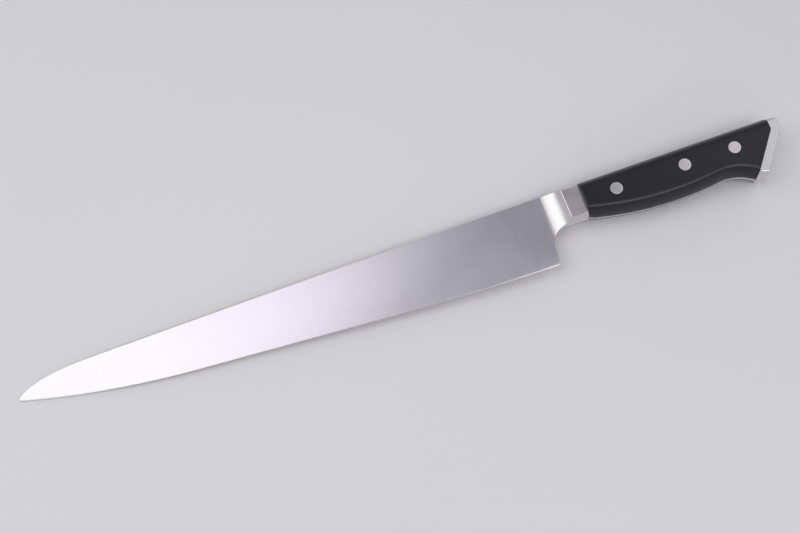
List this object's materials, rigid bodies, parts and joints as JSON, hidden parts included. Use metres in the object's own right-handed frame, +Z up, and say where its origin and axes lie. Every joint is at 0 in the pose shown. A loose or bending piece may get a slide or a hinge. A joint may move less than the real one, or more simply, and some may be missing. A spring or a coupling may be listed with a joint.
{
  "type": "carving knife",
  "caption": "Carving and slicing knife with a long straight full-tang blade, welded steel bolster, black riveted scales and a slanted steel end cap",
  "frame": {"origin": "under the middle of the knife's box, on the surface that the lower scale rests on", "axes": "+X along the knife from the tip to the butt, +Y from the cutting edge to the spine, +Z up through the thickness of the handle"},
  "size_m": [0.4402, 0.0396, 0.019],
  "materials": {
    "blade_steel": "satin ground stainless steel, fine scratches square to the edge",
    "bolster_steel": "satin polished stainless steel",
    "scale_plastic": "black moulded plastic, smooth with a soft sheen",
    "cap_steel": "satin polished stainless steel",
    "rivet_steel": "ground flush and satin polished"
  },
  "bodies": {
    "root": {"blade": "blade_steel", "bolster_upper": "bolster_steel", "bolster_lower": "bolster_steel", "scale_upper": "scale_plastic", "scale_lower": "scale_plastic", "cap_upper": "cap_steel", "cap_lower": "cap_steel", "front_rivet_male": "rivet_steel", "front_rivet_female": "rivet_steel", "middle_rivet_male": "rivet_steel", "middle_rivet_female": "rivet_steel", "rear_rivet_male": "rivet_steel", "rear_rivet_female": "rivet_steel"}
  },
  "joints": []
}
